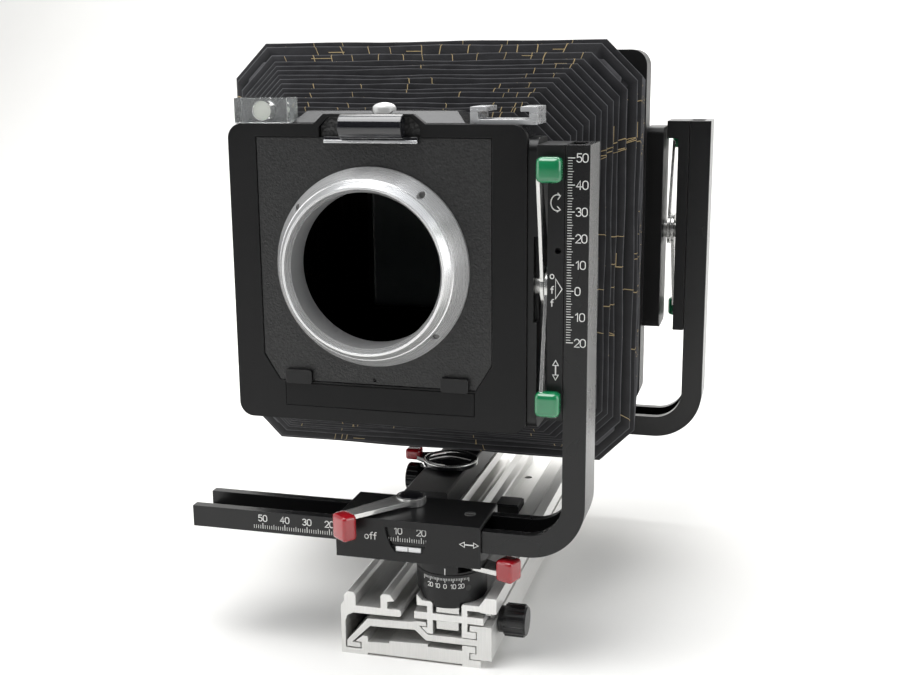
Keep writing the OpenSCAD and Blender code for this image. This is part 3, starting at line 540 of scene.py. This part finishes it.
# signs on the front rise carriage
fl = Flat(front(-3.3))
ar = [(69.0 + 2.4 * math.cos(math.radians(a)), 193 + 3.0 * math.sin(math.radians(a))) for a in range(60, 301, 20)]
fl.stroke(ar, 0.42)
fl.stroke([(ar[0][0] - 1.0, ar[0][1] + 1.0), ar[0], (ar[0][0] - 0.9, ar[0][1] - 1.3)], 0.38)
fl.stroke([(ar[-1][0] - 1.1, ar[-1][1] + 1.2), ar[-1], (ar[-1][0] - 1.2, ar[-1][1] - 0.8)], 0.38)
for ch, z in (("o", 164.2), ("f", 158.6), ("f", 153.6)):
    text(fl, ch, 67.3, z, 2.7, 0.36)
fl.poly([(68.7, 164.2), (68.7, 156.5), (71.2, 160.3)], 0.36, True)
for sgn in (-1, 1):
    tip = 128.6 + sgn * 3.9
    fl.poly([(69.0, tip), (70.1, tip - sgn * 2.0), (67.9, tip - sgn * 2.0)], 0.34, True)
fl.line((69.0, 126.7), (69.0, 130.5), 0.5)
fl.build("carriage_signs", "front_carriage", "ink")

# rear arm scale (same scale, facing back)
fl = Flat(back(174.2 + 23.1))
for s in range(-20, 51):
    z = 159.7 + s
    fl.line((104.2, z), (106.8 if s % 10 == 0 else 105.8, z), 0.42 if s % 10 == 0 else 0.3)
def backtext(fl, s, u, v, h, w):
    place = fl.place
    fl.place = lambda uu, vv, hh: place(2 * u - uu, vv, hh)
    text(fl, s, u, v, h, w)
    fl.place = place
for s, t in ((50, "50"), (40, "40"), (30, "30"), (20, "20"), (10, "10"), (0, "0"), (-10, "10"), (-20, "20")):
    backtext(fl, t, 110.0, 159.7 + s - 1.5, 3.0, 0.42)
fl.build("rear_arm_scale_rise", "rear_arm", "ink")
fl = Flat(back(174.2 + 23.1))
for s in range(-30, 31):
    fl.line((55 + s, 52.2), (55 + s, 54.7 if s % 10 == 0 else 53.8), 0.40 if s % 10 == 0 else 0.28)
for s in (-30, -20, -10, 0, 10, 20, 30):
    backtext(fl, str(abs(s)), 55 + s, 55.6, 2.8, 0.4)
fl.build("rear_arm_scale_shift", "rear_arm", "ink")

# ------------------------------------------------------------------ rounded grips of the levers
def rounded_box(name, centre, half, rad, seg, rot_axis, ang, body, mat, rep):
    """A box with generous round edges, replaced on a CAD grip."""
    bm = bmesh.new()
    bmesh.ops.create_cube(bm, size=2.0)
    for v in bm.verts:
        v.co = Vector((v.co.x * half[0], v.co.y * half[1], v.co.z * half[2]))
    bmesh.ops.bevel(bm, geom=list(bm.edges), offset=rad, segments=seg, profile=0.55, affect="EDGES")
    # slight crown, as on moulded grips
    for v in bm.verts:
        v.co.z *= 1.0 - 0.06 * (v.co.y / half[1]) ** 2
    me = bpy.data.meshes.new(name)
    bm.to_mesh(me); bm.free()
    me.transform(Matrix.Rotation(ang, 4, rot_axis))
    me.transform(Matrix.Translation(centre))
    o = bpy.data.objects.new(name, me)
    bpy.context.scene.collection.objects.link(o)
    me.materials.append(M[mat])
    for p in me.polygons:
        p.use_smooth = True
    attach(o, body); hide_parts(rep)
    return o
def mid(n):
    a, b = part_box(n)
    return (a + b) / 2
mm = 0.001
for n, body, half, ang, col in (
    ("front_swing_lever_tip", "front_swing_clamp", (3.9, 4.3, 4.75), -22, "red"),
    ("front_shift_lever_tip", "front_shift_clamp", (3.3, 4.7, 5.6), 233, "red"),
    ("rear_swing_lever_tip", "rear_swing_clamp", (3.7, 4.3, 4.75), 165, "red"),
    ("rear_shift_lever_tip", "rear_shift_clamp", (3.4, 4.4, 5.95), 43.1, "red"),
    ("rear_clamp_lever_tip", "rear_clamp", (3.9, 4.1, 3.0), 0, "red"),
):
    rounded_box(n + "_grip", mid(n), [h * mm for h in half], 1.7 * mm, 5, "Z", math.radians(ang), body, col, n)
for n, body in (("front_tilt_lever_tip", "front_tilt_clamp"), ("front_rise_lever_tip", "front_rise_clamp"),
                ("rear_tilt_lever_tip", "rear_tilt_clamp"), ("rear_rise_lever_tip", "rear_rise_clamp")):
    a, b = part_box(n)
    h = (b - a) / 2
    rounded_box(n + "_grip", (a + b) / 2, (h.x, h.y, h.z), 2.4 * mm, 6, "Z", 0, body, "green", n)

# ------------------------------------------------------------------ lever caps and the rear clamp's rim and dome
def lathe(name, prof, centre, axis, n, body, mat, rep=None, smooth=True):
    """prof: (radius, along) in mm, turned about an axis through centre (row frame, metres)."""
    vs, fs = [], []
    k = len(prof)
    for i in range(n):
        a = 2 * math.pi * i / n
        for r, t in prof:
            p = (r * math.cos(a) * mm, r * math.sin(a) * mm, t * mm)
            if axis == "Z": q = Vector(p)
            elif axis == "-Y": q = Vector((p[0], -p[2], p[1]))
            elif axis == "Y": q = Vector((p[0], p[2], -p[1]))
            else: q = Vector((p[2], p[0], p[1]))
            vs.append(centre + q)
    for i in range(n):
        j = (i + 1) % n
        for t in range(k - 1):
            fs.append((i * k + t, j * k + t, j * k + t + 1, i * k + t + 1))
    o = make(name, vs, fs, body, mat, smooth)
    bm = bmesh.new(); bm.from_mesh(o.data)
    bmesh.ops.remove_doubles(bm, verts=bm.verts, dist=1e-7)
    bmesh.ops.recalc_face_normals(bm, faces=bm.faces)
    bm.to_mesh(o.data); bm.free()
    if rep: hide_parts(rep)
    return o
# dark caps with bright rims on the two cam levers
lathe("shift_lever_cap", [(0.001, 0.55), (4.6, 0.55), (5.2, 0.30), (5.35, 0.0)], C(4, 16, 65.55), "Z", 48, "front_shift_clamp", "latch")
lathe("rear_shift_lever_cap", [(0.001, 0.5), (4.6, 0.5), (5.2, 0.28), (5.35, 0.0)], C(-16, 186.8, 66.85), "Z", 48, "rear_shift_clamp", "latch")
lathe("rear_clamp_rim", [(13.1, 0.0), (13.5, 0.22), (13.95, 0.1), (14.12, -0.25), (14.12, -0.8), (13.8, -1.0)], C(-11, 134, 43.4), "Z", 96, "rear_clamp", "silver")
lathe("rear_clamp_dome", [(0.001, 1.5), (4, 1.35), (8, 0.75), (11, 0.1), (11.6, -0.1)], C(-11, 134, 43.4), "Z", 64, "rear_clamp", "latch")

# ------------------------------------------------------------------ bellows
def smoothstep(t):
    t = max(0.0, min(1.0, t)); return t * t * (3 - 2 * t)
Y0, YM, Y1 = 22.4, 78.0, 165.9
n1, n2 = 17, 22
STEP = [1.0] * 15 + [1.9, 1.9]
TAB = [57.0]
for q in STEP:
    TAB.append(TAB[-1] + q * (93.8 - 57.0) / sum(STEP))
def hw(y):
    if y < YM:
        t = max(0.0, (y - Y0) / (YM - Y0) * n1)
        i = min(n1 - 1, int(t))
        return TAB[i] + (TAB[i + 1] - TAB[i]) * (t - i)
    return 93.8 - 3.0 * (y - YM) / (Y1 - YM)
def bcx(y):
    t = min(1, (y - Y0) / (YM - Y0)); return -4.2 + 0.6 * t - 5.8 * max(0, (y - YM) / (Y1 - YM))
def bcz(y):
    t = min(1, (y - Y0) / (YM - Y0)); return 161.3 - 1.4 * t
rows = []                      # y, inset, painted sheen
depth = 9.5
def pleat(ya, yb, k):
    p = (yb - ya)
    j = rng.uniform(-0.08, 0.08)
    d = depth * (0.94 + 0.12 * rng.random())
    if k in (n1 - 2, n1 - 1):
        d *= 0.62
    # strength of the painted sheen on the mountain fold edge; the rows beside it get a little (0.18)
    edge_sheen = rng.uniform(0.75, 1.0)
    e = 0.035 if k < n1 else 0.028
    return [(ya, d, 0.0), (ya + 0.30 * p, d * 0.5, 0.0), (ya + (0.5 - e) * p + j, 0.30, 0.18), (ya + 0.5 * p + j, 0.0, edge_sheen), (ya + (0.5 + e) * p + j, 0.30, 0.18), (ya + 0.70 * p, d * 0.5, 0.0)]
ys = [Y0 + (YM - Y0) * i / n1 for i in range(n1)] + [YM + (Y1 - YM) * i / n2 for i in range(n2 + 1)]
for i in range(len(ys) - 1):
    rows += pleat(ys[i], ys[i + 1], i)
rows.append((ys[-1], depth, 0.0))
NR = len(rows)
PER = 6                        # rows of one pleat
NS, NCH = 26, 5                # points along a side and along a chamfer
def ring(y, inset, wob, fan=0.0):
    h = hw(y) - inset
    cxx, czz = bcx(y), bcz(y)
    c = 15.5 - 0.62 * inset
    P8 = [(cxx - h + c, czz - h), (cxx + h - c, czz - h), (cxx + h, czz - h + c), (cxx + h, czz + h - c),
          (cxx + h - c, czz + h), (cxx - h + c, czz + h), (cxx - h, czz + h - c), (cxx - h, czz - h + c)]
    pts = []
    for k in range(8):
        a, b = P8[k], P8[(k + 1) % 8]
        nn = NS if k % 2 == 0 else NCH
        dx, dz = b[0] - a[0], b[1] - a[1]
        L = math.hypot(dx, dz)
        ox, oz = dz / L, -dx / L            # outward
        for i in range(nn):
            t = i / nn
            # soft sag and waviness of the cloth between the corners
            w = 0.0
            if k % 2 == 1:
                # the corner folds back on itself once more
                w = fan * min(1.0, 2.4 * math.sin(math.pi * t))
            else:
                w = wob[k // 2] * math.sin(math.pi * t) + 0.28 * math.sin(2 * math.pi * (t * 2.3 + wob[4])) * math.sin(math.pi * t)
            pts.append(Vector((a[0] + dx * t + ox * w, y, a[1] + dz * t + oz * w)))
    return pts
RP = 4 * NS + 4 * NCH
grid = []
wob = [0, 0, 0, 0, 0]
for r, (y, ins, edge_sheen) in enumerate(rows):
    if r % PER == 2 or r == 0:
        wob = [rng.uniform(-0.55, 0.15) for _ in range(4)] + [rng.random()]
    grid.append(ring(y, ins, wob, {0: 4.4, 1: -0.4, 5: -0.4}.get(r % PER, 0.0) * min(1.0, ins / 9.5 + 0.4)))
def seg_range():
    """The joints' stretches of the bellows, each starting and ending at a valley."""
    chain = ["front_frame", "front_carriage", "front_arm", "front_block", "rail_top", "rail_middle", "rail_base",
             "rear_carriage", "rear_block", "rear_arm", "rear_riser", "rear_frame"]
    pleats = [4, 3, 4, 2, 6, 5, 8, 2, 2, 1, 2]       # 39 in all
    return chain, pleats
chain, pl = seg_range()
assert sum(pl) == n1 + n2, sum(pl)

def side_of(j):
    """side 0 bottom, 1 right, 2 top, 3 left, and how far along; None on a chamfer."""
    k, rem = divmod(j, NS + NCH)
    return (k, rem) if rem < NS else (None, None)
# crack lines: a set of cross lines on each wall, offset from wall to wall
cracks = {}                    # row index -> list of (j position as float, j position at next row)
def add_crack(r, ja, jb, w):
    cracks.setdefault(r, []).append((ja, jb, w))
hlines = {}
for side in range(4):
    base = side * (NS + NCH)
    colsn = 13
    drift = [rng.uniform(0.3, NS - 0.3) for _ in range(colsn)]
    dens = {0: 0.34, 1: 0.80, 2: 0.50, 3: 0.55}[side]
    for p in range(n1 + n2):
        r0 = p * PER
        for c in range(colsn):
            drift[c] = min(NS - 0.4, max(0.3, drift[c] + rng.uniform(-0.35, 0.35)))
            if rng.random() < 0.18:
                drift[c] = rng.uniform(0.3, NS - 0.4)
            wide = side == 2 and p in (n1 - 2, n1 - 1)
            if wide:                                     # the two wide top pleats crack like brickwork
                drift[c] = min(NS - 0.4, max(0.3, (c + 0.5 + (0.5 if p == n1 - 1 else 0.0) + rng.uniform(-0.3, 0.3)) * NS / colsn))
            for (ra, rb) in ((r0, r0 + 3), (r0 + 3, r0 + 6)):
                if rng.random() < (0.92 if wide else dens * (0.7 if p >= n1 - 3 else 0.5)):
                    j = base + drift[c]
                    part = rng.random()
                    s, e = ra, rb
                    if part < 0.25: s = ra + 1
                    elif part < 0.4: e = rb - 1
                    slope = rng.uniform(-0.12, 0.12)
                    w = rng.uniform(0.22, 0.42)
                    for r in range(s, e):
                        add_crack(r, j + slope * (r - s), j + slope * (r + 1 - s) + rng.uniform(-0.05, 0.05), w)
                if rng.random() < (0.25 if wide else dens * 0.10):
                    hlines.setdefault((ra + 1 if ra == r0 else ra + 1), []).append((base + drift[c], base + min(NS - 0.2, drift[c] + rng.uniform(0.6, 1.8)), rng.uniform(0.2, 0.8), rng.uniform(0.22, 0.36)))

def gp(r, j):
    j0 = int(math.floor(j)) % RP
    t = j - math.floor(j)
    a, b = grid[r][j0], grid[r][(j0 + 1) % RP]
    return a.lerp(b, t)

row = 0
for si, cnt in enumerate(pl):
    ra, rb = row, row + cnt * PER
    row = rb
    verts, faces, painted_light, midx = [], [], [], []
    for r in range(ra, rb + 1):
        for j in range(RP):
            k = j % (NS + NCH)
            light_v = rows[r][2]
            if k >= NS:                                  # the fan folds at the corners get painted sheen too
                light_v = max(light_v, 0.62 if r % PER == 0 else 0.0)
            pk = r // PER
            # painted light: the top walls of the two wide pleats painted lighter grey, as if lit from above
            if pk in (n1 - 2, n1 - 1) and j // (NS + NCH) == 2 and k < NS:
                light_v = max(light_v, 0.16)
            verts.append(C(*grid[r][j])); painted_light.append(light_v)
    for r in range(rb - ra):
        for j in range(RP):
            jj = (j + 1) % RP
            faces.append((r * RP + j, r * RP + jj, (r + 1) * RP + jj, (r + 1) * RP + j)); midx.append(0)
    def strip(pts4, lift):
        n = (pts4[1] - pts4[0]).cross(pts4[3] - pts4[0])
        if n.length < 1e-9:
            return
        n.normalize()
        cen = (pts4[0] + pts4[2]) / 2
        out = Vector((cen.x - bcx(cen.y), 0, cen.z - bcz(cen.y)))
        if n.dot(out) < 0:
            n = -n
        b0 = len(verts)
        for q in pts4:
            verts.append(C(*(q + n * lift))); painted_light.append(0.0)
        faces.append((b0, b0 + 1, b0 + 2, b0 + 3)); midx.append(1)
        for q in pts4:
            verts.append(C(*(q - n * 0.02))); painted_light.append(0.0)
        for i in range(4):
            faces.append((b0 + i, b0 + 4 + i, b0 + 4 + (i + 1) % 4, b0 + (i + 1) % 4)); midx.append(1)
    for r in range(ra, rb):
        for ja, jb, w in cracks.get(r, []):
            a, b = gp(r, ja), gp(r + 1, jb)
            along = (gp(r, ja + 0.05) - gp(r, ja)).normalized() * (w / 2)
            strip([a - along, a + along, b + along, b - along], 0.10)
        for ja, jb, t, w in hlines.get(r, []):
            n = 3
            for q in range(n):
                j1, j2 = ja + (jb - ja) * q / n, ja + (jb - ja) * (q + 1) / n
                a1, a2 = gp(r, j1).lerp(gp(r + 1, j1), t), gp(r, j2).lerp(gp(r + 1, j2), t)
                acr = (gp(r + 1, j1) - gp(r, j1)).normalized() * (w / 2)
                strip([a1 - acr, a2 - acr, a2 + acr, a1 + acr], 0.10)
    name = "bellows_part_%02d" % si
    o = make(name, verts, faces, None, None, False, ["bellows", "cream"], midx)
    at = o.data.attributes.new("painted_light", "FLOAT", "POINT")
    at.data.foreach_set("value", painted_light)
    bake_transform(o)
    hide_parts("bellows")
# front end frame of the bellows, a plain rectangular rim
def rim(name, y0, y1, h_out, h_in, cx_, cz_, c, body):
    def oct_(h, cc):
        return [(cx_ - h + cc, cz_ - h), (cx_ + h - cc, cz_ - h), (cx_ + h, cz_ - h + cc), (cx_ + h, cz_ + h - cc),
                (cx_ + h - cc, cz_ + h), (cx_ - h + cc, cz_ + h), (cx_ - h, cz_ + h - cc), (cx_ - h, cz_ - h + cc)]
    A, B = oct_(h_out, c), oct_(h_in, max(2, c - 6))
    vs = [C(x, y0, z) for x, z in A] + [C(x, y1, z) for x, z in A] + [C(x, y1, z) for x, z in B] + [C(x, y0, z) for x, z in B]
    fs = []
    for k in range(4):
        for i in range(8):
            j = (i + 1) % 8
            fs.append((k * 8 + i, k * 8 + j, ((k + 1) % 4) * 8 + j, ((k + 1) % 4) * 8 + i))
    return make(name, vs, fs, body, "black")
rim("bellows_front_rim", 22.05, 23.6, 52.0, 45.5, -4.2, 161.3, 8, "front_frame")

# bright front edge of the board latch's foot
def bar(name, x0, x1, y0, y1, z0, z1, r, body, mat):
    """A bar along X with rounded ends and edges."""
    bm = bmesh.new()
    bmesh.ops.create_cube(bm, size=2.0)
    h = ((x1 - x0) / 2, (y1 - y0) / 2, (z1 - z0) / 2)
    for v in bm.verts:
        v.co = Vector((v.co.x * h[0], v.co.y * h[1], v.co.z * h[2])) * mm
    bmesh.ops.bevel(bm, geom=list(bm.edges), offset=r * mm, segments=3, profile=0.5, affect="EDGES")
    me = bpy.data.meshes.new(name); bm.to_mesh(me); bm.free()
    me.transform(Matrix.Translation(C((x0 + x1) / 2, (y0 + y1) / 2, (z0 + z1) / 2)))
    o = bpy.data.objects.new(name, me)
    bpy.context.scene.collection.objects.link(o)
    me.materials.append(M[mat])
    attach(o, body)
    return o
bar("latch_foot_edge", -23.9, 14.3, -1.95, -1.3, 214.25, 215.5, 0.22, "board_latch", "shoe")

# ------------------------------------------------------------------ floor, backdrop and light
def stage_mat():
    mt, nt, b = new_mat("paper")
    vec = obj_coords(nt)
    n = noise(nt, vec, 3, 3)
    c = ramp(nt, n, [(0.3, rgb(0.84, 0.83, 0.805)), (0.7, rgb(0.87, 0.865, 0.845))])
    nt.links.new(c, b.inputs["Base Color"])
    b.inputs["Roughness"].default_value = 0.9
    return mt
M["paper"] = stage_mat()
vs, fs = [], []
prof = [(-3.0, 0.0), (0.9, 0.0)]
for i in range(1, 13):
    a = math.pi / 2 * i / 12
    prof.append((0.9 + 0.8 * math.sin(a), 0.8 - 0.8 * math.cos(a)))
prof.append((1.7, 3.0))
for x in (-3.5, 3.5):
    for y, z in prof:
        vs.append((x, y, z))
k = len(prof)
for i in range(k - 1):
    fs.append((i, k + i, k + i + 1, i + 1))
st = make("stage_sweep", vs, fs, None, "paper", True)
st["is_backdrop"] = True

w = bpy.data.worlds.new("studio")
bpy.context.scene.world = w
w.use_nodes = True
bg = w.node_tree.nodes["Background"]
wt = w.node_tree
tcw = wt.nodes.new("ShaderNodeTexCoord")
sxw = wt.nodes.new("ShaderNodeSeparateXYZ")
wt.links.new(tcw.outputs["Generated"], sxw.inputs[0])
crw = wt.nodes.new("ShaderNodeValToRGB")            # bright paper behind and beside, a dim room behind the viewer
crw.color_ramp.elements[0].position = 0.0
crw.color_ramp.elements[0].color = (0.07, 0.073, 0.08, 1)
crw.color_ramp.elements[1].position = 0.62
crw.color_ramp.elements[1].color = (0.93, 0.96, 1.0, 1)
e = crw.color_ramp.elements.new(0.30); e.color = (0.16, 0.167, 0.18, 1)
mrw = wt.nodes.new("ShaderNodeMapRange")
mrw.inputs["From Min"].default_value = -1.0
mrw.inputs["From Max"].default_value = 1.0
wt.links.new(sxw.outputs["Y"], mrw.inputs["Value"])
wt.links.new(mrw.outputs["Result"], crw.inputs["Fac"])
wt.links.new(crw.outputs["Color"], bg.inputs["Color"])
bg.inputs["Strength"].default_value = 0.85

def area(name, loc, target, size, power, col=(1, 1, 1)):
    d = bpy.data.lights.new(name, "AREA")
    d.shape = "RECTANGLE"; d.size, d.size_y = size
    d.energy = power; d.color = col
    o = bpy.data.objects.new(name, d)
    bpy.context.scene.collection.objects.link(o)
    o.location = loc
    o.rotation_mode = "QUATERNION"
    o.rotation_quaternion = (Vector(target) - Vector(loc)).to_track_quat("-Z", "Y")
    return o
area("key_top", (-0.25, -0.35, 1.25), (0, 0, 0.1), (0.9, 0.9), 15)
area("fill_left", (-1.2, -0.6, 0.5), (0, 0, 0.12), (0.8, 1.0), 5)
area("fill_right", (1.3, -0.2, 0.55), (0, 0, 0.12), (0.8, 1.0), 7)
area("paper_light", (0.0, 0.55, 1.5), (0.0, 1.7, 0.7), (2.4, 0.6), 26)
area("back_soft", (0.1, 1.1, 1.2), (0, 0.1, 0.15), (1.4, 0.7), 9)

vs_ = bpy.context.scene.view_settings
vs_.view_transform = "Standard"

a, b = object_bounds()
